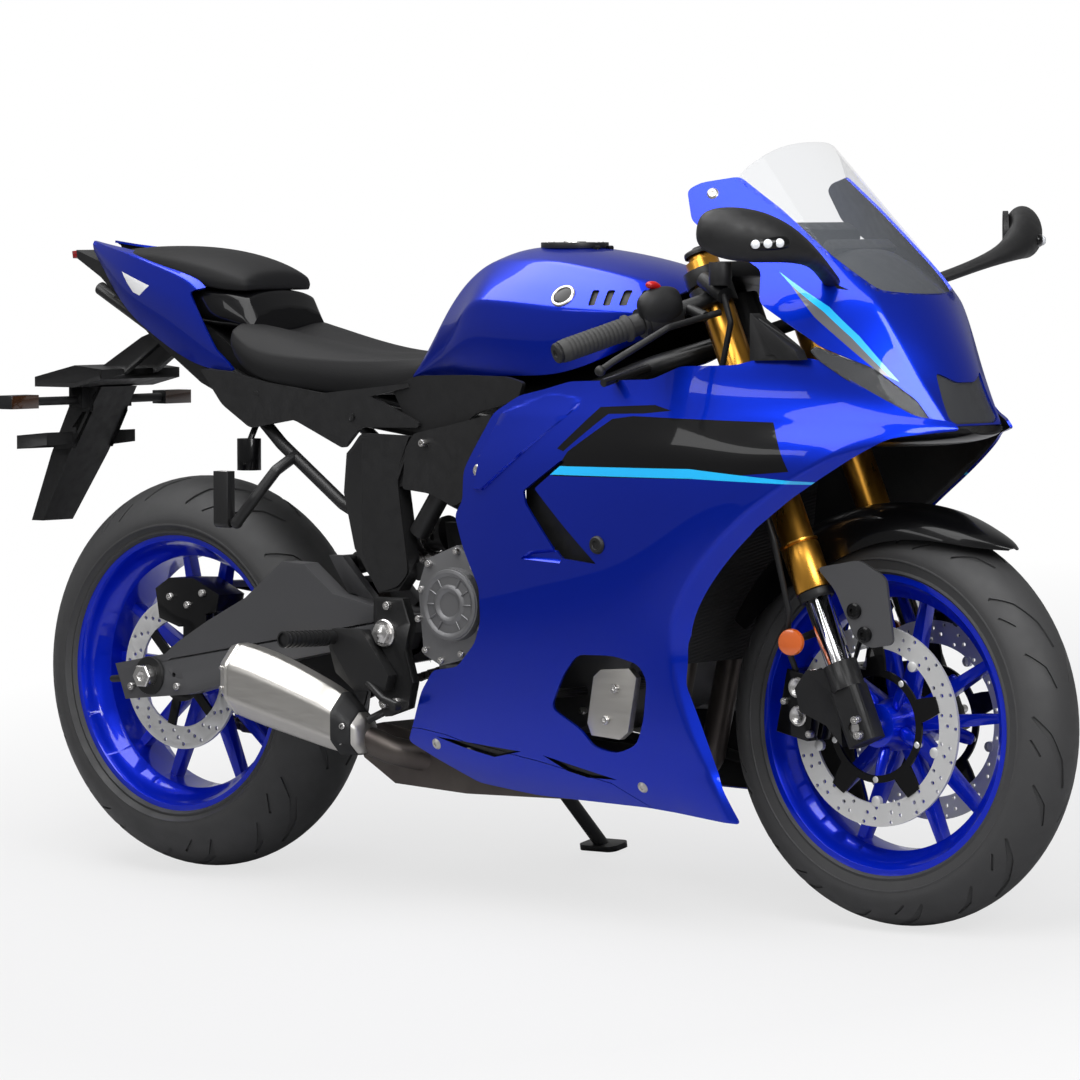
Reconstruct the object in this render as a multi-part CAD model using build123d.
"""Sport motorcycle parked on its side stand, one STEP file per piece, in millimetres.

The machine is drawn upright in its own frame: x runs forward from the rear axle, y to the rider's
left and z up from the ground.  Every shape is then leaned onto the side stand by parked().
"""
import os
from math import atan2, cos, degrees, hypot, pi, radians, sin, sqrt, tan

from build123d import *

# ---------------------------------------------------------------- driving dimensions
WHEELBASE = 1395.0
LEAN_DEG = 10.0                     # lean to the left on the side stand
RAKE_DEG = 23.67
TRAIL = 90.0
RIM_BEAD_R = 216.0                  # 17 inch rims
RIM_FLANGE_R = 230.0
RIM_FLANGE = 6.0                    # thickness of a rim flange
FIT = 0.3                           # gap between pieces that only touch
WALL = 4.0                          # moulded body panels
AXLE_R = 10.0
# a wheel: outer radius, crown radius, half width of the tyre, half width between the rim flanges
FRONT = dict(x=WHEELBASE, r=300.0, crown=62.0, half=59.0, bead=46.0, hub=54.0)
REAR = dict(x=0.0, r=315.0, crown=95.0, half=90.0, bead=72.0, hub=62.0)
RIM_WALL = 7.0
HUB_R = 40.0
SPOKE_PAIRS = 5
SPOKE_T = 20.0                      # spoke thickness across the wheel
FRONT_DISC = dict(y=68.0, r=149.0, band=34.0, t=4.5, carrier=58.0)
REAR_DISC = dict(y=66.0, r=122.5, band=36.0, t=5.0, carrier=46.0)
FORK_Y = 105.0                      # fork legs from the centre plane
FORK_OUTER_R = 25.5
FORK_INNER_R = 20.5
STEM_R = 18.0
HEAD_R = 33.0
STEER_DEG = 25.0
CHAIN_Y = 106.0
CHAIN_W = 18.0
CHAIN_H = 15.0
SPROCKET_REAR_R = 103.0
SPROCKET_FRONT_R = 38.0
SPROCKET_T = 7.0
PIVOT = (520.0, 405.0)              # swingarm pivot, x and z
OUTPUT = (612.0, 430.0)             # gearbox output shaft, x and z
STAND_PIVOT = (548.0, 128.0, 232.0)
STAND_FOOT_XY = (606.0, 262.0)
STAND_AXIS = (0.051, 0.778, 0.573)
STAND_LEG_R = 11.0

RAKE = radians(RAKE_DEG)
AXLE_Z = {"front": FRONT["r"], "rear": REAR["r"]}


# ---------------------------------------------------------------- helpers
def side_face(points, y):
    """A flat face in the side view, from (x, z) points, standing at y."""
    return Plane.XZ.offset(-y) * make_face(Polyline(*[(x, z) for x, z in points], close=True))


def side_prism(points, y_low, y_high):
    """A side view outline, extruded across the machine."""
    return extrude(side_face(points, y_high), amount=y_high - y_low)


def plan_face(points, z):
    return Plane.XY.offset(z) * make_face(Polyline(*points, close=True))


def cross_face(points, x):
    """A flat face across the machine, from (y, z) points, standing at x."""
    return Plane.YZ.offset(x) * make_face(Polyline(*points, close=True))


def stations(table):
    """A ruled loft through closed cross sections: rows of (x, right half as (y, z) from top to bottom)."""
    faces = []
    for x, half in table:
        right = [(-y, z) for y, z in half]
        left = [(y, z) for y, z in reversed(half)]
        points = [p for i, p in enumerate(right + left) if i == 0 or p != (right + left)[i - 1]]
        faces.append(cross_face(points, x))
    return loft(faces, ruled=True)


def rod(start, end, r):
    """A round bar between two points."""
    a, b = Vector(*start), Vector(*end)
    plane = Plane(origin=a, z_dir=(b - a).normalized())
    return extrude(plane * Circle(r), amount=(b - a).length)


def bent_rod(points, r, bend):
    """A round bar along straight runs joined by arcs of radius bend."""
    path = FilletPolyline(*points, radius=bend)
    start = path @ 0
    return sweep(Plane(origin=start, z_dir=path % 0) * Circle(r), path=path)


def lathe(profile, x, z):
    """A ring round a wheel's axle, from (y, radius) points."""
    face = Plane.YZ.offset(x) * make_face(Polyline(*[(y, z + r) for y, r in profile], close=True))
    return revolve(face, axis=Axis((x, 0, z), (0, 1, 0)), revolution_arc=360)


def mirrored(shape):
    return mirror(shape, about=Plane.XZ)


def both(shape):
    """The right hand shape and its mirror image, as separate solids of one node."""
    return Compound(children=[*shape.solids(), *mirrored(shape).solids()])


def on_fork(s, y=0.0, forward=0.0):
    """A point s along the fork leg's line from the axle, y from the centre, forward at right angles."""
    return (WHEELBASE - s * sin(RAKE) + forward * cos(RAKE), y, AXLE_Z["front"] + s * cos(RAKE) + forward * sin(RAKE))


FORK_AXIS = (-sin(RAKE), 0.0, cos(RAKE))
STEM_BACK = (WHEELBASE + TRAIL - AXLE_Z["front"] * tan(RAKE) - WHEELBASE) * cos(RAKE)   # stem line from the fork line


def on_stem(s, y=0.0):
    return on_fork(s, y, STEM_BACK)


def fork_plane(s, forward=0.0, y=0.0):
    """A plane square to the fork at s, with its x axis to the front and its y axis to the left."""
    return Plane(origin=on_fork(s, y, forward), x_dir=(cos(RAKE), 0, sin(RAKE)), z_dir=FORK_AXIS)


def arc_points(cx, cz, r, a0, a1, n):
    """Points on an arc in the side view, angles in degrees from the front."""
    return [(cx + r * cos(radians(a0 + (a1 - a0) * i / n)), cz + r * sin(radians(a0 + (a1 - a0) * i / n))) for i in range(n + 1)]


# ---------------------------------------------------------------- wheels
def tyre(w):
    """Crown arc between the shoulders, side walls down to the beads."""
    t_edge = 66.0
    crown = [(w["crown"] * sin(radians(t)), w["r"] - w["crown"] * (1 - cos(radians(t)))) for t in (-t_edge, 0, t_edge)]
    bead = w["bead"] - FIT
    centre = (w["x"], AXLE_Z["front"] if w is FRONT else AXLE_Z["rear"])
    plane = Plane.YZ.offset(w["x"])
    z = centre[1]
    left, top, right = [(y, z + r) for y, r in crown]
    bead_top = RIM_FLANGE_R + 1.0
    side = w["half"] * 0.99
    lines = [
        ThreePointArc(left, top, right),
        ThreePointArc(right, (side, z + (crown[2][1] + bead_top) / 2 - 3), (w["bead"] + 2, z + bead_top)),
        Line((w["bead"] + 2, z + bead_top), (bead, z + bead_top)),
        Line((bead, z + bead_top), (bead, z + RIM_BEAD_R + FIT)),
        Line((bead, z + RIM_BEAD_R + FIT), (-bead, z + RIM_BEAD_R + FIT)),
        Line((-bead, z + RIM_BEAD_R + FIT), (-bead, z + bead_top)),
        Line((-bead, z + bead_top), (-w["bead"] - 2, z + bead_top)),
        ThreePointArc((-w["bead"] - 2, z + bead_top), (-side, z + (crown[0][1] + bead_top) / 2 - 3), left),
    ]
    return revolve(plane * make_face(lines), axis=Axis((w["x"], 0, z), (0, 1, 0)), revolution_arc=360)


def rim(w):
    """Barrel with flanges and a drop centre, pairs of straight spokes and a hub bored for the axle."""
    z = AXLE_Z["front"] if w is FRONT else AXLE_Z["rear"]
    b, f = w["bead"], w["bead"] + RIM_FLANGE
    drop = RIM_BEAD_R - 22
    outer = [(-f, RIM_FLANGE_R), (-b, RIM_FLANGE_R), (-b, RIM_BEAD_R), (-b * 0.62, RIM_BEAD_R - 5), (-b * 0.4, drop),
             (b * 0.4, drop), (b * 0.62, RIM_BEAD_R - 5), (b, RIM_BEAD_R), (b, RIM_FLANGE_R), (f, RIM_FLANGE_R)]
    inner = [(f, RIM_BEAD_R - 3), (b * 0.75, RIM_BEAD_R - 12), (b * 0.48, drop - RIM_WALL),
             (-b * 0.48, drop - RIM_WALL), (-b * 0.75, RIM_BEAD_R - 12), (-f, RIM_BEAD_R - 3)]
    body = lathe(outer + inner, w["x"], z)
    hub = lathe([(-w["hub"], AXLE_R + FIT), (w["hub"], AXLE_R + FIT), (w["hub"], HUB_R * 0.8), (w["hub"] * 0.5, HUB_R),
                 (-w["hub"] * 0.5, HUB_R), (-w["hub"], HUB_R * 0.8)], w["x"], z)
    reach = drop - RIM_WALL + 2
    root, tip, splay = 12.0, 7.0, 13.0
    spokes = []
    for pair in range(SPOKE_PAIRS):
        for side in (-1, 1):
            turn = 360.0 / SPOKE_PAIRS * pair + 90
            root_at = Vector(cos(radians(turn + side * 16)), sin(radians(turn + side * 16))) * (HUB_R - 6)
            tip_at = Vector(cos(radians(turn + side * splay)), sin(radians(turn + side * splay))) * reach
            along = (tip_at - root_at).normalized()
            across = Vector(-along.Y, along.X)
            corners = [root_at + across * root, tip_at + across * tip, tip_at - across * tip, root_at - across * root]
            spokes.append(side_prism([(w["x"] + c.X, z + c.Y) for c in corners], -SPOKE_T / 2, SPOKE_T / 2))
    return body + hub + spokes


def brake_disc(w, d, side):
    """Drilled band on a slim carrier, bolted to the hub."""
    z = AXLE_Z["front"] if w is FRONT else AXLE_Z["rear"]
    y0, y1 = side * d["y"] - d["t"] / 2, side * d["y"] + d["t"] / 2
    plane = Plane.XZ.offset(-y1)
    at = Pos(w["x"], z)
    band_in = d["r"] - d["band"]
    ring = plane * at * (Circle(d["r"]) - Circle(band_in))
    arms = []
    for i in range(6):
        arms.append(plane * at * Rot(0, 0, 60 * i + 15) * Pos((band_in + d["carrier"]) / 2 - 2, 0) * Rectangle(band_in - d["carrier"] + 12, 16))
    carrier = plane * at * (Circle(d["carrier"]) - Circle(HUB_R * 0.8 + FIT))
    solid = extrude(ring, amount=d["t"]) + extrude(carrier, amount=d["t"])
    for arm in arms:
        solid += extrude(arm, amount=d["t"])
    holes = [plane * at * Rot(0, 0, 20 * i + 6 * k) * Pos(band_in + d["band"] * (0.22 + 0.28 * k), 0) * Circle(3.2) for i in range(18) for k in range(3)]
    return solid - [extrude(h, amount=d["t"]) for h in holes]


front_tyre, rear_tyre = tyre(FRONT), tyre(REAR)
front_rim, rear_rim = rim(FRONT), rim(REAR)
front_disc_right = brake_disc(FRONT, FRONT_DISC, -1)
front_disc_left = brake_disc(FRONT, FRONT_DISC, 1)
rear_disc = brake_disc(REAR, REAR_DISC, -1)


def hub_carriers(w, d, sides):
    """Short sleeves that carry the discs on the hub's ends."""
    z = AXLE_Z["front"] if w is FRONT else AXLE_Z["rear"]
    found = []
    for side in sides:
        y0, y1 = sorted((side * w["hub"], side * (d["y"] + d["t"] / 2)))
        found.append(lathe([(y0, AXLE_R + FIT), (y1, AXLE_R + FIT), (y1, HUB_R * 0.8), (y0, HUB_R * 0.8)], w["x"], z))
    return found


front_rim = front_rim + hub_carriers(FRONT, FRONT_DISC, (-1, 1))
rear_rim = rear_rim + hub_carriers(REAR, REAR_DISC, (-1,))


def sprocket(x, z, r, teeth, bore, y):
    """Toothed plate on the chain line."""
    points = []
    for i in range(teeth):
        for share, radius in ((0.0, r - 6), (0.25, r - 6), (0.45, r + 1), (0.65, r + 1)):
            turn = radians(360 * (i + share) / teeth)
            points.append((x + radius * cos(turn), z + radius * sin(turn)))
    plate = side_prism(points, y - SPROCKET_T / 2, y + SPROCKET_T / 2)
    return plate - extrude(Plane.XZ.offset(-y - SPROCKET_T / 2) * Pos(x, z) * Circle(bore), amount=SPROCKET_T)


rear_sprocket = sprocket(0, AXLE_Z["rear"], SPROCKET_REAR_R - 9, 42, 50, CHAIN_Y)
cush_drive = lathe([(REAR["hub"], AXLE_R + FIT), (CHAIN_Y + SPROCKET_T / 2, AXLE_R + FIT), (CHAIN_Y + SPROCKET_T / 2, 50),
                    (CHAIN_Y - SPROCKET_T / 2, 50), (CHAIN_Y - SPROCKET_T / 2, 56), (REAR["hub"], 58)], 0, AXLE_Z["rear"])
rear_rim = rear_rim + cush_drive
front_sprocket = sprocket(*OUTPUT, SPROCKET_FRONT_R - 9, 16, 10, CHAIN_Y)


# ---------------------------------------------------------------- chain
def chain_loop():
    """One fixed loop round both sprockets, as a flat band with waisted links."""
    x0, z0, r0 = 0.0, AXLE_Z["rear"], SPROCKET_REAR_R
    x1, z1, r1 = OUTPUT[0], OUTPUT[1], SPROCKET_FRONT_R
    span = hypot(x1 - x0, z1 - z0)
    heading = atan2(z1 - z0, x1 - x0)
    tilt = (r0 - r1) / span

    def outline(grow):
        up = heading + pi / 2 - tilt
        down = heading - pi / 2 + tilt
        a0, b0 = r0 + grow, r1 + grow
        top0 = (x0 + a0 * cos(up), z0 + a0 * sin(up))
        top1 = (x1 + b0 * cos(up), z1 + b0 * sin(up))
        low0 = (x0 + a0 * cos(down), z0 + a0 * sin(down))
        low1 = (x1 + b0 * cos(down), z1 + b0 * sin(down))
        back = (x0 - a0 * cos(heading), z0 - a0 * sin(heading))
        nose = (x1 + b0 * cos(heading), z1 + b0 * sin(heading))
        return make_face([Line(top0, top1), ThreePointArc(top1, nose, low1), Line(low1, low0), ThreePointArc(low0, back, top0)])

    plane = Plane.XZ.offset(-(CHAIN_Y + CHAIN_W / 2))
    return extrude(plane * outline(CHAIN_H / 2), amount=CHAIN_W) - extrude(plane * outline(-CHAIN_H / 2), amount=CHAIN_W)


drive_chain = chain_loop()

# ---------------------------------------------------------------- front end, all turned by the steering
AXLE_END_FRONT = 122.0
front_axle = rod((WHEELBASE, -AXLE_END_FRONT, AXLE_Z["front"]), (WHEELBASE, AXLE_END_FRONT, AXLE_Z["front"]), AXLE_R)
FORK = dict(lug_low=-24.0, lug_high=100.0, inner_high=215.0, cap=742.0, lower_clamp=505.0, upper_clamp=703.0)
LOWER_T, UPPER_T = 36.0, 24.0
fork_outer = extrude(fork_plane(FORK["inner_high"], y=-FORK_Y) * Circle(FORK_OUTER_R), amount=FORK["cap"] - FORK["inner_high"])
fork_outer += extrude(fork_plane(FORK["inner_high"], y=-FORK_Y) * Circle(FORK_OUTER_R + 3), amount=70)
fork_outer += extrude(fork_plane(FORK["cap"], y=-FORK_Y) * Circle(FORK_OUTER_R - 7), amount=14)
fork_inner = extrude(fork_plane(FORK["lug_high"], y=-FORK_Y) * Circle(FORK_INNER_R), amount=FORK["inner_high"] - FORK["lug_high"])
lug = extrude(fork_plane(FORK["lug_low"], y=-FORK_Y) * (Pos(0, 0) * RectangleRounded(52, 40, 12)), amount=FORK["lug_high"] - FORK["lug_low"] - 40)
lug += extrude(fork_plane(FORK["lug_high"] - 40, y=-FORK_Y) * Circle(FORK_INNER_R + 5), amount=40)
caliper_arm = side_prism([(WHEELBASE - 30, 270), (WHEELBASE - 60, 300), (WHEELBASE - 108, 318), (WHEELBASE - 118, 352), (WHEELBASE - 96, 380),
                          (WHEELBASE - 64, 384), (WHEELBASE - 40, 372)], -FORK_Y - 8, -FORK_Y + 12)
lug = lug + caliper_arm
lug = lug - extrude(Plane.XZ.offset(FORK_Y - 60) * Pos(WHEELBASE, AXLE_Z["front"]) * Circle(AXLE_R), amount=120)
fork_outer_tubes, fork_lower_legs = both(fork_outer), both(lug + fork_inner)


def yoke(s, t, stem_back_r, reach):
    """A clamp plate across both fork legs and the stem."""
    plane = fork_plane(s)
    outline = make_hull((Pos(0, -FORK_Y) * Circle(reach) + Pos(0, FORK_Y) * Circle(reach) + Pos(STEM_BACK, 0) * Circle(stem_back_r)).edges())
    plate = extrude(plane * outline, amount=t)
    for side in (-1, 1):
        plate -= extrude(plane * Pos(0, side * FORK_Y) * Circle(FORK_OUTER_R), amount=t)
    return plate


lower_yoke = yoke(FORK["lower_clamp"], LOWER_T, 34, FORK_OUTER_R + 11)
upper_yoke = yoke(FORK["upper_clamp"], UPPER_T, 30, FORK_OUTER_R + 9)
stem = extrude(fork_plane(FORK["lower_clamp"] + LOWER_T, forward=STEM_BACK) * Circle(STEM_R), amount=FORK["upper_clamp"] - FORK["lower_clamp"] - LOWER_T)
STAND_BORE_R, STAND_BORE_L = 8.0, 60.0
lower_yoke = (lower_yoke + stem) - extrude(fork_plane(FORK["lower_clamp"], forward=STEM_BACK) * Circle(STAND_BORE_R), amount=STAND_BORE_L)
upper_yoke += extrude(fork_plane(FORK["upper_clamp"] + UPPER_T, forward=STEM_BACK) * RegularPolygon(17, 6), amount=12)

# clip-on bars: a clamp below the upper yoke, a bar that sweeps out, back and down
BAR_START, BAR_END = (1134.0, -124.0, 926.0), (1026.0, -350.0, 848.0)
BAR_R, GRIP_R = 11.0, 16.5


def along_bar(share):
    return tuple(a + (b - a) * share for a, b in zip(BAR_START, BAR_END))


clip = extrude(fork_plane(FORK["upper_clamp"] - 34, y=-FORK_Y) * (Circle(FORK_OUTER_R + 8) - Circle(FORK_OUTER_R)), amount=30)
clip += rod(BAR_START, along_bar(0.45), BAR_R) - extrude(fork_plane(FORK["upper_clamp"] - 60, y=-FORK_Y) * Circle(FORK_OUTER_R), amount=80)
handlebars = both(clip)
grip = rod(along_bar(0.45), along_bar(0.92), GRIP_R) + rod(along_bar(0.45), along_bar(0.48), GRIP_R + 6)
grips = both(grip + rod(along_bar(0.92), BAR_END, GRIP_R - 1))
switch_block = rod(along_bar(0.24), along_bar(0.45), 24) - rod(along_bar(0.0), along_bar(0.5), BAR_R)
switchgear = both(switch_block)
lever_pivot = (1158.0, -172.0, 899.0)
lever = bent_rod([(1168, -150, 905), lever_pivot, (1146, -245, 884), (1112, -330, 836), (1104, -352, 822)], 5.0, 14) + Pos(1104, -352, 822) * Sphere(8)
lever_perch = rod(along_bar(0.18), lever_pivot, 8) - rod(BAR_START, BAR_END, BAR_R)
levers = both(lever + lever_perch)
master = rod((1128, -138, 953), (1178, -152, 930), 13) + Pos(1176, -160, 962) * Cylinder(17, 34)
HOSE_R = 4.5
hose_low = [on_fork(300, -150, -8), on_fork(200, -128, -40), (1256, -102, 410), (1261, -84, 368)]
front_hose = bent_rod([(1176, -153, 932), (1190, -153, 890), on_fork(560, -152, 0), *hose_low], HOSE_R, 14)
left_hose = mirrored(bent_rod([on_fork(FORK["lower_clamp"], -136, -10), on_fork(450, -138, -12), *hose_low], HOSE_R, 14))
bar_controls = Compound(children=[*switchgear.solids(), *levers.solids(), *(master + front_hose).solids(), *left_hose.solids()])
bar_controls = bar_controls - handlebars - grips - upper_yoke

# front calipers: radial bodies behind the fork legs, over the discs
def caliper(x, z, turn_deg, y_disc, half_y, length, height, slot):
    body = Plane(origin=(x, y_disc, z), x_dir=(cos(radians(turn_deg)), 0, sin(radians(turn_deg))), z_dir=(0, 1, 0)) * Box(length, height, 2 * half_y)
    return body - lathe([(y_disc - slot, 60), (y_disc + slot, 60), (y_disc + slot, 152.5), (y_disc - slot, 152.5)], WHEELBASE, AXLE_Z["front"])


front_caliper = caliper(WHEELBASE - 127, 326, 78, -FRONT_DISC["y"], 27.0, 96, 60, FRONT_DISC["t"] / 2 + 3) - caliper_arm
front_calipers = both(front_caliper)
bar_controls -= front_calipers

# front mudguard: an arched skin over the tyre, with side plates to the fork legs
GUARD_GAP, GUARD_WALL, GUARD_HALF, PLATE_T = 12.0, 4.0, 66.0, 14.0


def mudguard():
    """Arch over the tyre's crown, joined to a plate inside each fork leg."""
    x0, z0 = FRONT["x"], AXLE_Z["front"]
    r = FRONT["r"] + GUARD_GAP
    low, w = FRONT["r"] - 14, GUARD_HALF
    section = [(-w, low), (-w + 6, r), (-34, r + 10), (0, r + 14), (34, r + 10), (w - 6, r), (w, low),
               (w + GUARD_WALL, low), (w - 2, r + 3), (36, r + 14), (0, r + 18), (-36, r + 14), (2 - w, r + 3), (-w - GUARD_WALL, low)]
    ring = lathe(section, x0, z0)
    wedge = [(x0, z0), *arc_points(x0, z0, r + 100, 55, 140, 8)]
    arch = ring & side_prism(wedge, -90, 90)
    skirt = [(1282, 545), (1282, 503), (1320, 503), (1345, 430), (1361, 384), (1408, 414), (1443, 423), (1432, 517), (1452, 574)]
    reach = [*arc_points(x0, z0, low + 4, 76, 112, 4)]
    plate = side_prism([*reach, *skirt], -w - PLATE_T, -w)
    disc_room = FRONT_DISC["y"] + 7.5
    clear = lathe([(-disc_room, 40), (disc_room, 40), (disc_room, 156), (w, 165), (w, low + 6), (-w, low + 6), (-w, 165), (-disc_room, 156)], x0, z0)
    trim_top = lathe([(-100, low + 6), (100, low + 6), (100, low + 60), (-100, low + 60)], x0, z0)
    plate = plate - clear - trim_top
    return arch + plate + mirrored(plate)


fork_sweep = both(extrude(fork_plane(40, y=-FORK_Y) * Circle(FORK_INNER_R + 5), amount=200)
                  + extrude(fork_plane(FORK["inner_high"], y=-FORK_Y) * Circle(FORK_OUTER_R + 3), amount=300))
front_mudguard = mudguard() - fork_sweep

# ---------------------------------------------------------------- frame
head = extrude(fork_plane(FORK["lower_clamp"] + LOWER_T + 8, forward=STEM_BACK) * (Circle(HEAD_R) - Circle(STEM_R + FIT)),
               amount=FORK["upper_clamp"] - FORK["lower_clamp"] - LOWER_T - 16)
MAIN_R = 16.0
rail = bent_rod([(1106, -14, 862), (1010, -112, 822), (820, -142, 752), (640, -138, 660), (560, -128, 560)], MAIN_R, 50)
down = bent_rod([(1126, -14, 816), (1040, -96, 748), (930, -132, 640)], MAIN_R - 3, 40)
brace = rod((930, -132, 640), (830, -141, 754), MAIN_R - 5)
frame_side = rail + down + brace
beam = side_prism([(444, 533), (422, 619), (428, 680), (457, 706), (560, 704), (600, 690), (600, 640), (536, 631), (553, 528), (557, 498), (534, 470), (493, 466)], -148, -122)
frame_side += beam
engine_mount = rod((930, -132, 640), (930, -90, 640), 12)
frame_side += engine_mount
cross_tube = rod((560, -130, 500), (560, 130, 500), 14)
frame_rails = head + frame_side + mirrored(frame_side) + cross_tube
frame_rails -= extrude(fork_plane(400, forward=STEM_BACK) * Circle(STEM_R + FIT), amount=500)

pivot_plate_outline = [(503, 371), (497, 430), (498, 460), (557, 460), (572, 421), (561, 382), (577, 331), (567, 291), (521, 276), (507, 297), (526, 363)]
pivot_plate = side_prism(pivot_plate_outline, -165, -149)
pivot_plates = both(pivot_plate)
pivot_shaft = rod((PIVOT[0], -172, PIVOT[1]), (PIVOT[0], 172, PIVOT[1]), 11)
pivot_plates = pivot_plates - pivot_shaft

sub_top = bent_rod([(590, -120, 712), (430, -114, 732), (200, -96, 772), (-60, -60, 866), (-200, -40, 930)], 11, 60)
sub_low = bent_rod([(500, -135, 560), (400, -125, 600), (260, -112, 690), (120, -94, 800)], 10, 40)
subframe = sub_top + sub_low
subframe = subframe + mirrored(subframe) + rod((-150, -56, 910), (-150, 56, 910), 9) + rod((200, -96, 772), (200, 96, 772), 9)

# ---------------------------------------------------------------- shock absorber, swingarm and rear axle
SHOCK_BACK, SHOCK_FRONT = (322.0, 0.0, 500.0), (552.0, 0.0, 560.0)
SPRING_R, DAMPER_R = 30.0, 18.0


def along_shock(share):
    return tuple(a + (b - a) * share for a, b in zip(SHOCK_BACK, SHOCK_FRONT))


rear_shock = rod(SHOCK_BACK, SHOCK_FRONT, DAMPER_R) + rod(along_shock(0.18), along_shock(0.78), SPRING_R)
rear_shock += rod((322, -40, 500), (322, 40, 500), 14) + rod((552, -24, 560), (552, 24, 560), 14)
shock_bracket = side_prism([(534, 572), (568, 572), (574, 496), (546, 496)], -38, -24)
shock_brackets = [shock_bracket, mirrored(shock_bracket)]
shock_link = side_prism([(308, 514), (336, 514), (410, 440), (380, 410)], -56, -40)

right_arm = side_prism([(-76, 331), (-54, 275), (81, 288), (111, 296), (186, 316), (300, 352), (400, 372), (500, 370), (540, 380), (550, 405), (540, 432),
                        (500, 440), (392, 460), (330, 505), (285, 507), (207, 447), (127, 408), (62, 372), (33, 351)], -141, -106)
left_arm = side_prism([(-76, 331), (-54, 275), (120, 292), (300, 330), (540, 372), (552, 405), (540, 438), (300, 420), (60, 362), (33, 351)], 122, 147)
cross = rod((PIVOT[0], -141, PIVOT[1]), (PIVOT[0], 147, PIVOT[1]), 27)
cross_front = rod((400, -120, 420), (400, 124, 395), 30)
swingarm = right_arm + left_arm + cross + cross_front
swingarm -= rod((0, -150, AXLE_Z["rear"]), (0, 160, AXLE_Z["rear"]), AXLE_R)
swingarm -= pivot_shaft
swingarm += [shock_link, mirrored(shock_link)]
SPOOL_R, SPOOL_L = 4.0, 20.0        # paddock stand bobbin threads, M8
SPOOL_AT = (52.0, 318.0)
for side in (-1, 1):
    face = 141.0 if side < 0 else 147.0
    swingarm -= rod((SPOOL_AT[0], side * face, SPOOL_AT[1]), (SPOOL_AT[0], side * (face - SPOOL_L), SPOOL_AT[1]), SPOOL_R)
rear_axle = rod((0, -158, AXLE_Z["rear"]), (0, 164, AXLE_Z["rear"]), AXLE_R)
rear_axle += rod((0, -158, AXLE_Z["rear"]), (0, -141, AXLE_Z["rear"]), 17) + rod((0, 147, AXLE_Z["rear"]), (0, 164, AXLE_Z["rear"]), 17)
spacers = rod((0, -106, AXLE_Z["rear"]), (0, -(REAR_DISC["y"] + REAR_DISC["t"] / 2 + FIT), AXLE_Z["rear"]), 18) + rod((0, CHAIN_Y + SPROCKET_T / 2 + FIT, AXLE_Z["rear"]), (0, 122, AXLE_Z["rear"]), 18)
rear_axle += spacers

CALIPER_OUT = 106 - FIT
rear_caliper = side_prism([(-20, 452), (10, 470), (63, 471), (118, 446), (112, 420), (60, 408), (31, 392), (-12, 405)], -CALIPER_OUT, -46)
rear_caliper -= lathe([(-REAR_DISC["y"] - 6, 60), (-REAR_DISC["y"] + 6, 60), (-REAR_DISC["y"] + 6, 130), (-REAR_DISC["y"] - 6, 130)], 0, AXLE_Z["rear"])
rear_caliper += side_prism([(60, 412), (90, 414), (90, 365), (40, 345), (40, 380), (40, 400)], -CALIPER_OUT, -90)

# ---------------------------------------------------------------- engine, exhaust, radiator
crankcase = side_prism([(592, 300), (587, 474), (690, 560), (830, 560), (960, 480), (985, 400), (930, 300), (850, 262), (650, 262)], -118, 118)
clutch_case = side_prism([(602, 382), (642, 472), (702, 522), (760, 502), (792, 420), (762, 342), (662, 332)], -150, -60)
chain_bay = side_prism([(520, 346), (520, 506), (668, 506), (668, 346)], 88, 160)
cylinders = side_prism([(784, 530), (902, 490), (985, 650), (858, 700)], -100, 100)
head_cover = side_prism([(870, 680), (985, 636), (1012, 700), (900, 745)], -92, 92)
engine_lug = side_prism([(538, 484), (538, 518), (640, 534), (640, 466)], -56, 56)
bracket_room = side_prism([(530, 486), (586, 486), (586, 540), (530, 540)], -42, -20)
engine_lug -= [bracket_room, mirrored(bracket_room)]
engine_block = crankcase - chain_bay + clutch_case + cylinders + head_cover + engine_lug - cross_tube
engine_block -= engine_mount
engine_block -= mirrored(engine_mount)
clutch_face = [(616, 481), (633, 525), (695, 548), (734, 524), (754, 461), (751, 418), (706, 374), (661, 363), (627, 379)]
clutch_cover = side_prism(clutch_face, -196, -150 - FIT)
clutch_cover += Plane.XZ.offset(196) * Pos(692, 458) * extrude(Circle(56), amount=16)
stator_cover = Plane.XZ.offset(-118 - FIT) * Pos(850, 410) * extrude(Circle(78), amount=-62)
stator_cover += side_prism([(780, 470), (700, 470), (690, 350), (780, 340)], 118 + FIT, 150)
SLIDER = [(976, 371), (1030, 375), (1044, 362), (1028, 280), (1012, 268), (958, 272), (950, 290), (962, 360)]
slider_plate = side_prism(SLIDER, -196, -184) + rod((925, -112, 330), (998, -186, 330), 9) + rod((905, -112, 300), (990, -186, 292), 9)
sprocket_cover = side_prism([(560, 370), (560, 490), (640, 500), (684, 470), (684, 360)], 118 + FIT, 148)
sprocket_cover -= side_prism([(480, 340), (480, 500), (574, 500), (584, 440), (574, 340)], 100, 148)

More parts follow.
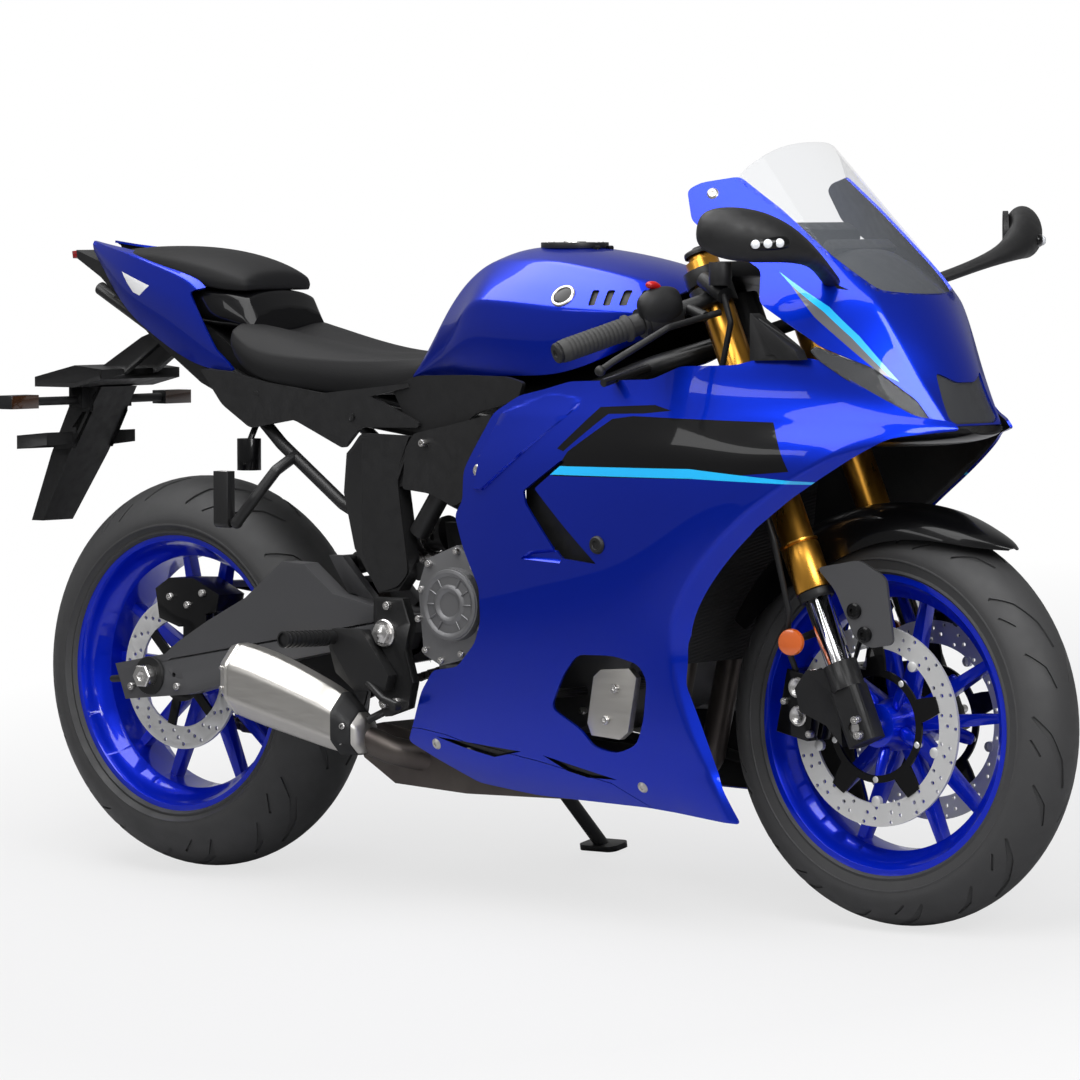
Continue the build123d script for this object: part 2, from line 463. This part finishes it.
RAD_GAP, RAD_T, RAD_LOW, RAD_HIGH, RAD_HALF = 17.0, 16.0, 380.0, 700.0, 165.0
RAD_X = FRONT["x"] - FRONT["r"] - RAD_GAP          # front face at the bottom, behind the front tyre
radiator = side_prism([(RAD_X, RAD_LOW), (RAD_X - RAD_T, RAD_LOW), (RAD_X + 36 - RAD_T, RAD_HIGH), (RAD_X + 36, RAD_HIGH)], -RAD_HALF, RAD_HALF)
tank_side = side_prism([(RAD_X, RAD_LOW), (RAD_X - 30, RAD_LOW), (RAD_X + 6, RAD_HIGH), (RAD_X + 22, RAD_HIGH)], -RAD_HALF - 13, -RAD_HALF)
radiator = radiator + tank_side + mirrored(tank_side)

header = bent_rod([(950, -52, 628), (1042, -54, 590), (1030, -56, 400), (985, -56, 212), (900, -56, 196)], 20, 30)
exhaust_pipes = header + mirrored(header)
collector = side_prism([(900, 228), (900, 164), (640, 160), (494, 168), (430, 205), (410, 250), (470, 262), (600, 240)], -112, 92)
exhaust_pipes += collector
exhaust_pipes += bent_rod([(560, -88, 206), (512, -140, 222), (462, -178, 250)], 22, 40)
MUFFLER = [  # x, centre y, centre z, half width, half height
    (492, -172, 245, 25, 26), (462, -187, 266, 38, 46), (322, -196, 310, 46, 58), (254, -198, 326, 45, 56), (236, -198, 332, 34, 42)]


def muffler_face(x, y, z, half_w, half_h):
    k = 0.45
    pts = [(y - half_w, z - half_h * k), (y - half_w, z + half_h * k), (y - half_w * k, z + half_h), (y + half_w * k, z + half_h), (y + half_w, z + half_h * k),
           (y + half_w, z - half_h * k), (y + half_w * k, z - half_h), (y - half_w * k, z - half_h)]
    return cross_face(pts, x)


muffler = loft([muffler_face(*row) for row in MUFFLER], ruled=True)
exhaust_pipes = exhaust_pipes - muffler - engine_block
muffler_stay = rod((520, -157, 286), (476, -176, 262), 6) - muffler - pivot_plates

# ---------------------------------------------------------------- tank, seats, tail
TANK = [  # x, then right half as (y, z) from the top centre to the bottom centre
    (512, [(0, 815), (40, 812), (70, 806), (78, 798), (60, 792), (0, 792)]),
    (560, [(0, 868), (46, 862), (92, 838), (106, 812), (96, 796), (0, 796)]),
    (620, [(0, 949), (50, 942), (104, 905), (138, 850), (118, 800), (0, 800)]),
    (700, [(0, 1001), (60, 996), (112, 966), (152, 922), (148, 806), (0, 806)]),
    (800, [(0, 1000), (74, 993), (128, 972), (166, 920), (160, 806), (0, 806)]),
    (900, [(0, 986), (74, 978), (128, 958), (166, 906), (156, 812), (0, 812)]),
    (985, [(0, 969), (60, 962), (110, 944), (146, 905), (130, 842), (0, 842)]),
    (1024, [(0, 950), (46, 944), (84, 926), (104, 900), (90, 872), (0, 872)]),
]
fuel_tank = stations(TANK)
CAP_R = 52.0
CAP_AT = (766.0, 1001.0)
cap_seat = Pos(CAP_AT[0], 0, CAP_AT[1] - 14) * Cylinder(CAP_R + 6, 60, align=(Align.CENTER, Align.CENTER, Align.MIN))
fuel_tank -= cap_seat
filler_ring = Pos(CAP_AT[0], 0, CAP_AT[1] - 14) * (Cylinder(CAP_R, 10, align=(Align.CENTER, Align.CENTER, Align.MIN)) - Cylinder(CAP_R - 16, 10, align=(Align.CENTER, Align.CENTER, Align.MIN)))
fuel_tank += filler_ring
filler_cap = Pos(CAP_AT[0], 0, CAP_AT[1] - 4 + FIT) * Cylinder(CAP_R, 9, align=(Align.CENTER, Align.CENTER, Align.MIN))

SEAT = [
    (150, [(0, 882), (60, 880), (100, 868), (112, 856), (96, 846), (0, 846)]),
    (205, [(0, 876), (66, 872), (112, 858), (132, 836), (124, 806), (0, 806)]),
    (300, [(0, 850), (66, 848), (110, 838), (134, 816), (128, 780), (0, 780)]),
    (400, [(0, 838), (56, 836), (94, 828), (118, 808), (112, 772), (0, 772)]),
    (470, [(0, 836), (44, 834), (80, 826), (102, 806), (98, 770), (0, 770)]),
    (540, [(0, 836), (34, 833), (62, 824), (84, 806), (86, 792), (0, 792)]),
]
rider_seat = stations(SEAT) - fuel_tank - subframe
PILLION = [
    (-165, [(0, 990), (40, 988), (56, 982), (54, 974), (0, 974)]),
    (-60, [(0, 1000), (50, 997), (76, 984), (74, 962), (0, 962)]),
    (60, [(0, 993), (56, 989), (90, 970), (92, 940), (0, 940)]),
    (130, [(0, 978), (58, 972), (96, 950), (98, 900), (0, 892)]),
    (176, [(0, 950), (56, 944), (90, 922), (92, 884), (0, 884)]),
]
pillion_seat = stations(PILLION)

TAIL = [  # x, then the right panel's outer line as (y, z) from its inner top edge to its bottom edge
    (-224, [(24, 1004), (30, 1002), (33, 994), (33, 988)]),
    (-185, [(36, 1000), (44, 998), (50, 980), (48, 960)]),
    (-93, [(66, 990), (74, 986), (84, 950), (76, 886)]),
    (0, [(84, 972), (92, 966), (104, 925), (94, 838)]),
    (80, [(97, 950), (105, 944), (116, 900), (110, 808)]),
    (128, [(104, 880), (112, 870), (121, 838), (119, 804)]),
    (170, [(112, 836), (119, 826), (125, 812), (124, 800)]),
]


def skin_cross(table, side=-1):
    """A thin panel through cross sections: each outer line, and the same line moved in by the wall."""
    faces = []
    for x, line in table:
        outer = [(side * y, z) for y, z in line]
        inner = [(side * (y - WALL), z - (1.5 if i == 0 else 0)) for i, (y, z) in enumerate(line)]
        faces.append(cross_face(outer + inner[::-1], x))
    return loft(faces, ruled=True)


tail_panel_right = skin_cross(TAIL)
tail_panels = both(tail_panel_right)
rider_seat -= tail_panels
pillion_seat = (pillion_seat - tail_panels).solids().sort_by(SortBy.VOLUME)[-1]
UNDERTAIL = [
    (-268, [(0, 992), (26, 992), (24, 978), (0, 976)]),
    (-200, [(0, 972), (38, 972), (40, 948), (0, 944)]),
    (-60, [(0, 940), (66, 940), (68, 852), (0, 846)]),
    (60, [(0, 885), (84, 885), (82, 782), (0, 776)]),
    (190, [(0, 800), (84, 800), (84, 728), (0, 722)]),
]
undertail = stations(UNDERTAIL) - subframe
tail_lamp = stations([(-268 - 12, [(0, 990), (24, 990), (22, 978), (0, 977)]), (-268 - FIT, [(0, 991), (25, 991), (23, 979), (0, 977)])])

side_cover = side_prism([(101, 800), (168, 796), (205, 800), (300, 774), (400, 766), (505, 766), (560, 790), (775, 800), (805, 792), (797, 765), (572, 716), (447, 712), (413, 686), (306, 724), (212, 712)], -166, -160)
SIDE_COVER = [  # a panel through horizontal sections: z, then (x, y) of its outer face from the front to the back
    (700, [(590, 158), (500, 152), (420, 142), (330, 134), (230, 126)]),
    (740, [(700, 162), (560, 156), (430, 144), (320, 138), (200, 130)]),
    (770, [(800, 172), (640, 162), (480, 146), (320, 142), (160, 134)]),
    (800, [(820, 178), (660, 160), (500, 134), (320, 140), (120, 132)]),
]


def skin_level(table, wall=WALL, side=-1):
    """A thin panel through horizontal sections, each outer line thickened inwards."""
    faces = []
    for z, line in table:
        outer = [(x, side * y) for x, y in line]
        inner = [(x, side * (y - wall)) for x, y in line]
        faces.append(plan_face(outer + inner[::-1], z))
    return loft(faces, ruled=True)


side_cover = skin_level(SIDE_COVER) & side_prism([(101, 806), (168, 800), (205, 800), (300, 774), (400, 764), (475, 764), (546, 786), (775, 799), (812, 792), (800, 768), (572, 718), (447, 716), (413, 700), (306, 726), (212, 712)], -220, 0)
side_covers = both(side_cover)
air_cover_outline = [(604, 706), (738, 742), (712, 696), (690, 630), (661, 608), (606, 624), (604, 640)]
air_cover = side_prism(air_cover_outline, -166, -160)
air_covers = both(air_cover)

# ---------------------------------------------------------------- plate holder, lamps at the back
tongue = loft([Plane.XY.offset(548) * Pos(-352, 0) * Rectangle(26, 70), Plane.XY.offset(660) * Pos(-288, 0) * Rectangle(40, 92), Plane.XY.offset(770) * Pos(-226, 0) * Rectangle(56, 84)], ruled=True)
wings = side_prism([(-300, 770), (-300, 786), (-210, 806), (-150, 800), (-150, 784), (-210, 770)], -92, 92)
ears = side_prism([(-330, 668), (-330, 690), (-262, 696), (-262, 676)], -104, 104)
bracket = side_prism([(-205, 800), (-110, 852), (-80, 862), (-66, 846), (-160, 786)], -40, -28)
plate_holder = tongue + wings + ears + bracket + mirrored(bracket)
indicator = rod((-240, -50, 748), (-248, -150, 748), 7) + Pos(-250, -180, 748) * Box(30, 62, 22)
rear_indicators = both(indicator)
plate_holder = plate_holder + side_prism([(-256, 736), (-256, 772), (-226, 772), (-226, 736)], -58, 58) - rear_indicators

# ---------------------------------------------------------------- fairing
FAIRING = [  # z, then (x, y) of the outer face from the front to the back
    (158, [(1210, 148), (1130, 152), (1000, 152), (860, 148), (700, 142), (540, 134)]),
    (225, [(1186, 176), (1120, 186), (1000, 188), (860, 186), (700, 180), (545, 168)]),
    (290, [(1163, 194), (1100, 202), (990, 204), (860, 204), (700, 196), (560, 176)]),
    (420, [(1140, 214), (1080, 222), (980, 224), (860, 222), (740, 216), (640, 206)]),
    (560, [(1245, 226), (1160, 238), (1040, 240), (900, 234), (780, 224), (680, 208)]),
    (680, [(1462, 150), (1390, 212), (1260, 242), (1060, 244), (880, 228), (690, 202)]),
    (760, [(1546, 62), (1450, 158), (1330, 224), (1120, 232), (920, 212), (720, 188)]),
    (855, [(1470, 90), (1372, 184), (1270, 206), (1100, 196), (900, 180), (720, 172)]),
]
FAIRING_SIDE = [(1215, 150), (1208, 163), (1187, 202), (1161, 285), (1139, 356), (1142, 417), (1161, 464), (1208, 526), (1275, 591), (1333, 634), (1424, 695), (1472, 724), (1544, 733),
                (1530, 743), (1491, 753), (1434, 782), (1400, 808), (1350, 838), (1300, 846), (1231, 829), (1132, 826), (1080, 807), (913, 800), (860, 786), (810, 778), (765, 753),
                (735, 698), (717, 663), (718, 617), (702, 595), (723, 545), (760, 487), (762, 435), (741, 401), (698, 362), (643, 354), (612, 321), (580, 262), (568, 240), (619, 217), (698, 183), (814, 171), (1036, 165)]
WINDOW = [(888, 310), (919, 361), (951, 394), (1022, 395), (1066, 384), (1079, 361), (1066, 299), (1048, 262), (1005, 246), (961, 255), (945, 278)]
VENT = [(930, 684), (853, 634), (858, 615), (927, 537), (1001, 532), (936, 585), (876, 638), (938, 680)]
fairing_shell = skin_level(FAIRING, wall=WALL + 1)
fairing = fairing_shell & side_prism(FAIRING_SIDE, -300, 0)
fairing -= side_prism(WINDOW, -300, 0)
fairing -= side_prism(VENT, -300, 0)
belly_cut = side_prism([(560, 100), (540, 290), (651, 256), (692, 246), (848, 224), (983, 198), (1044, 166), (1060, 100)], -300, 0)
belly = fairing & belly_cut
fairing_right = fairing - belly_cut
fairing_left = mirrored(fairing_right)
belly_panels = both(belly)

NOSE = [  # z, then (x, y) from the nose's centre to its rear edge
    (733, [(1548, 0), (1536, 52), (1498, 98), (1440, 142), (1362, 186)]),
    (780, [(1534, 0), (1520, 60), (1478, 112), (1426, 152), (1352, 190)]),
    (830, [(1508, 0), (1494, 60), (1450, 118), (1396, 160), (1322, 195)]),
    (880, [(1480, 0), (1464, 58), (1424, 114), (1366, 160), (1284, 198)]),
    (932, [(1453, 0), (1438, 55), (1400, 108), (1342, 156), (1250, 194)]),
    (985, [(1402, 0), (1388, 52), (1348, 102), (1290, 148), (1190, 186)]),
    (1050, [(1338, 0), (1324, 49), (1288, 96), (1236, 138), (1140, 174)]),
    (1110, [(1279, 0), (1266, 44), (1234, 86), (1188, 124), (1100, 160)]),
    (1166, [(1224, 0), (1213, 38), (1186, 74), (1148, 106), (1080, 140)]),
]


def bubble(grow, wall):
    """The nose's whole skin, round from one side to the other."""
    faces = []
    for z, line in NOSE:
        def ring(shift):
            half = []
            for i, (x, y) in enumerate(line):
                share = i / (len(line) - 1)
                half.append((x + shift * (1 - share) * 1.3, y + shift * (0.0 if i == 0 else 0.35 + 0.65 * share)))
            return [(x, -y) for x, y in reversed(half)] + [(x, y) for x, y in half[1:]]
        faces.append(plan_face(ring(grow) + ring(grow - wall)[::-1], z))
    return loft(faces, ruled=True)


nose_skin = bubble(0, WALL)
NOSE_SIDE = [(1600, 700), (1600, 934), (1460, 934), (1417, 938), (1261, 1056), (1190, 1105), (1108, 1100), (1140, 1040), (1262, 968), (1272, 920), (1352, 852), (1400, 826), (1436, 790), (1492, 757), (1531, 746), (1536, 700)]
SCREEN_SIDE = [(1600, 934), (1460, 934), (1417, 938), (1261, 1056), (1190, 1105), (1196, 1120), (1215, 1152), (1240, 1164), (1600, 1164)]
DRL_SIDE = [(1362, 852), (1437, 829), (1490, 787), (1500, 763), (1478, 768), (1442, 790), (1401, 824)]
nose_cowl = nose_skin & side_prism(NOSE_SIDE, -300, 300)
drl_cut = side_prism(DRL_SIDE, -300, 300)
nose_cowl -= drl_cut
LAMP_W, LAMP_LOW, LAMP_HIGH = 56.0, 748.0, 816.0
lamp_cut = Pos(1500, 0, (LAMP_LOW + LAMP_HIGH) / 2) * Box(200, 2 * LAMP_W, LAMP_HIGH - LAMP_LOW)
nose_cowl -= lamp_cut
position_lamps = nose_skin & drl_cut
headlamp = Pos(1475, 0, (LAMP_LOW + LAMP_HIGH) / 2) * Box(70, 2 * LAMP_W - 2 * FIT, LAMP_HIGH - LAMP_LOW - 2 * FIT) - nose_cowl
windscreen = bubble(-1.0, 3.0) & side_prism(SCREEN_SIDE, -300, 300)

STAYS = [  # each stay: the panel it carries and its two ends, on the right hand side
    ("fairing", (930, -132, 640), (930, -262, 646), 7), ("fairing", (640, -138, 655), (726, -230, 632), 6), ("fairing", (1010, -112, 822), (1010, -230, 800), 6),
    ("belly", (760, -100, 215), (760, -210, 205), 7), ("fairing", (880, -110, 330), (880, -240, 330), 7),
    ("side", (430, -114, 732), (430, -176, 742), 6), ("side", (225, -98, 766), (225, -160, 768), 6), ("side", (640, -138, 660), (640, -190, 750), 6),
    ("air", (690, -138, 686), (690, -180, 686), 7),
]
panels = [fairing_right, belly, side_cover, air_cover]


def stay(start, end, r):
    """A peg from the frame out to the inner face of the first panel it meets."""
    return (rod(start, end, r) - panels).solids().sort_by(Axis.Y)[-1]


frame_stays = [stay(*row[1:]) - engine_block - exhaust_pipes for row in STAYS]
radiator_stay = rod((1045, -94, 752), (RAD_X + 24, -126, RAD_HIGH - 14), 6) - radiator
frame_rails = frame_rails + shock_brackets + subframe + [*frame_stays, radiator_stay, muffler_stay] + [mirrored(x) for x in (*frame_stays, radiator_stay)]
cockpit = side_prism([(1262, 905), (1345, 852), (1352, 838), (1262, 836)], -200, -176) - nose_skin - fairing_right
cockpit_panels = both(cockpit.solids().sort_by(Axis.Y)[-1])
dash = Plane(origin=(1290, 0, 968), x_dir=(0, 1, 0), z_dir=(-cos(radians(35)), 0, sin(radians(35)))) * Box(150, 92, 22)
dash_stay = side_prism([(1300, 950), (1330, 960), (1440, 800), (1420, 790)], -60, -50)
nose_stay = dash_stay + mirrored(dash_stay) + side_prism([(1320, 930), (1335, 940), (1345, 925), (1330, 915)], -60, 60)
nose_stay += rod((1134, 0, 872), (1328, 0, 926), 11) + side_prism([(1296, 962), (1306, 966), (1336, 936), (1322, 922)], -18, 18)
nose_stay = nose_stay - dash - frame_rails - nose_skin

# mirrors on stalks from the nose
mirror_head = loft([Plane.XZ.offset(300) * Pos(1396, 1008) * Ellipse(32, 22), Plane.XZ.offset(350) * Pos(1362, 1024) * Ellipse(34, 36), Plane.XZ.offset(400) * Pos(1324, 1026) * Ellipse(22, 30)], ruled=True)
stalk = rod((1348, -96, 944), (1400, -300, 1006), 11)
mirror_right = mirror_head + stalk
mirror_right = (mirror_right - bubble(0, 40)).solids().sort_by(SortBy.VOLUME)[-1]
mirror_left = mirrored(mirror_right)

# ---------------------------------------------------------------- foot controls, stand
# a folded pillion peg: its pin's centre, its length up from the pin, half width along x and half thickness
PEG = dict(x=200.0, y=-181.0, z=568.0, length=80.0, half_x=15.0, half_y=9.0, pin=4.5)
peg_bracket = side_prism([(419, 392), (430, 410), (490, 410), (506, 388), (545, 342), (537, 318), (477, 314), (436, 342)], -185, -165 - FIT)
rider_peg = peg_bracket + rod((430, -185, 396), (424, -290, 398), 11)
rider_pegs = both(rider_peg)
pedal = bent_rod([(500, -180, 328), (540, -192, 306), (578, -196, 296), (580, -216, 297)], 6, 9)
brake_pedal = pedal - rider_pegs
shift = mirrored(bent_rod([(500, -180, 345), (560, -196, 336), (582, -200, 334), (584, -226, 335)], 6, 9)) - rider_pegs
hanger_end = (PEG["x"] + PEG["half_x"] + 12, PEG["y"], PEG["z"])
hanger = bent_rod([(292, -115, 672), (284, -152, 650), (262, -178, 606), hanger_end], 9, 14) + Pos(*hanger_end) * Sphere(10)
hanger += rod((PEG["x"] - PEG["half_x"], PEG["y"], PEG["z"]), hanger_end, PEG["pin"])
pillion_peg = Pos(PEG["x"], PEG["y"], PEG["z"] + PEG["length"] / 2) * Box(2 * PEG["half_x"], 2 * PEG["half_y"], PEG["length"])
pillion_peg += rod((PEG["x"] - PEG["half_x"], PEG["y"], PEG["z"]), (PEG["x"] + PEG["half_x"], PEG["y"], PEG["z"]), PEG["half_y"])
pillion_peg -= rod((PEG["x"] - PEG["half_x"], PEG["y"], PEG["z"]), (PEG["x"] + PEG["half_x"], PEG["y"], PEG["z"]), PEG["pin"] + FIT)
pillion_hangers = both(hanger - subframe)
reservoir = Pos(196, -118, 672) * Cylinder(19, 50) + rod((196, -118, 690), (206, -104, 732), 5) - subframe


def ground_z(y):
    """Height of the ground under the leaned machine, in its own frame."""
    lift = REAR["crown"] * (1 - cos(radians(LEAN_DEG)))
    return y * tan(radians(LEAN_DEG)) - lift / cos(radians(LEAN_DEG))


foot = (STAND_FOOT_XY[0], STAND_FOOT_XY[1], ground_z(STAND_FOOT_XY[1]))
leg = rod(STAND_PIVOT, (foot[0], foot[1], foot[2] + 2), STAND_LEG_R)
pad_plane = Plane(origin=foot, x_dir=(1, 0, 0), z_dir=(0, -sin(radians(LEAN_DEG)), cos(radians(LEAN_DEG))))
pad = extrude(pad_plane * RectangleRounded(74, 46, 14), amount=9)
stand_eye = Plane(origin=STAND_PIVOT, z_dir=STAND_AXIS) * Cylinder(19, 16)
below = pad_plane * Pos(0, 0, -50) * Box(400, 400, 100)
side_stand = leg + pad + stand_eye - below
stand_lug = Plane(origin=STAND_PIVOT, z_dir=STAND_AXIS) * Pos(0, 0, 23) * Cylinder(18, 16) + rod((549, 146, 245), (545, 157, 292), 11)
stand_pin = Plane(origin=STAND_PIVOT, z_dir=STAND_AXIS) * Pos(0, 0, 5) * Cylinder(7, 30)
side_stand -= Plane(origin=STAND_PIVOT, z_dir=STAND_AXIS) * Cylinder(7 + FIT, 60)
stand_bracket = stand_lug + stand_pin - pivot_plates

chain_guard = side_prism([(-150, 420), (-70, 452), (60, 458), (200, 466), (330, 478), (330, 470), (200, 456), (60, 448), (-66, 442), (-144, 410)], 97, 124)
chain_guard += side_prism([(200, 400), (200, 460), (230, 462), (230, 400)], 120, 124)

# ---------------------------------------------------------------- nodes
nodes = {
    "frame": Compound(children=[*frame_rails.solids(), *pivot_plates.solids(), *pivot_shaft.solids(), *stand_bracket.solids()]),
    "engine_block": engine_block,
    "engine_covers": Compound(children=[*clutch_cover.solids(), *stator_cover.solids(), *sprocket_cover.solids(), *both(slider_plate - engine_block).solids()]),
    "radiator": radiator,
    "exhaust_pipes": exhaust_pipes,
    "muffler": muffler,
    "fuel_tank": fuel_tank,
    "rider_seat": rider_seat,
    "pillion_seat": pillion_seat,
    "tail_panels": tail_panels,
    "undertail": undertail,
    "side_covers": Compound(children=[*side_covers.solids(), *air_covers.solids()]),
    "plate_holder": plate_holder,
    "rear_lamps": Compound(children=[*tail_lamp.solids(), *rear_indicators.solids()]),
    "side_fairings": Compound(children=[*fairing_right.solids(), *fairing_left.solids()]),
    "belly_panels": belly_panels,
    "nose_cowl": nose_cowl,
    "front_lamps": Compound(children=[*headlamp.solids(), *position_lamps.solids()]),
    "windscreen": windscreen,
    "cockpit": Compound(children=[*cockpit_panels.solids(), *dash.solids(), *nose_stay.solids()]),
    "mirrors": Compound(children=[*mirror_right.solids(), *mirror_left.solids()]),
    "foot_controls": Compound(children=[*rider_pegs.solids(), *brake_pedal.solids(), *shift.solids(), *pillion_hangers.solids()]),
    "pillion_peg_right": pillion_peg,
    "pillion_peg_left": mirrored(pillion_peg),
    "swingarm": Compound(children=[*swingarm.solids(), *chain_guard.solids()]),
    "rear_shock": rear_shock,
    "rear_axle": rear_axle,
    "rear_brake": Compound(children=[*rear_caliper.solids(), *reservoir.solids()]),
    "drive_chain": drive_chain,
    "yokes": Compound(children=[*lower_yoke.solids(), *upper_yoke.solids()]),
    "fork_outer_tubes": fork_outer_tubes,
    "fork_lower_legs": fork_lower_legs,
    "front_axle": front_axle,
    "front_calipers": front_calipers,
    "front_mudguard": front_mudguard,
    "handlebars": Compound(children=[*handlebars.solids(), *grips.solids()]),
    "bar_controls": bar_controls,
    "front_rim": front_rim,
    "front_tyre": front_tyre,
    "front_discs": Compound(children=[*front_disc_right.solids(), *front_disc_left.solids()]),
    "rear_rim": rear_rim,
    "rear_tyre": rear_tyre,
    "rear_disc": rear_disc,
    "rear_sprocket": rear_sprocket,
    "side_stand": side_stand,
    "filler_cap": filler_cap,
}


nodes = {name: Compound(shape.solids()) for name, shape in nodes.items()}
for name, shape in nodes.items():
    print(name, len(shape.solids()), round(shape.volume / 1000))


def parked(shape):
    """Lean the machine onto its stand and set it down on the row's origin."""
    return shape.moved(Pos(-SHIFT[0], -SHIFT[1], -SHIFT[2]) * Rot(-LEAN_DEG, 0, 0))


leaned = [shape.rotate(Axis.X, -LEAN_DEG).bounding_box() for shape in nodes.values()]
low = [min(getattr(b.min, k) for b in leaned) for k in "XYZ"]
high = [max(getattr(b.max, k) for b in leaned) for k in "XYZ"]
SHIFT = ((low[0] + high[0]) / 2, (low[1] + high[1]) / 2, low[2])

os.makedirs("parts", exist_ok=True)
for name, shape in nodes.items():
    export_step(parked(shape), f"parts/{name}.step")
print("size", [round(b - a, 1) for a, b in zip(low, high)], "shift", [round(v, 2) for v in SHIFT])
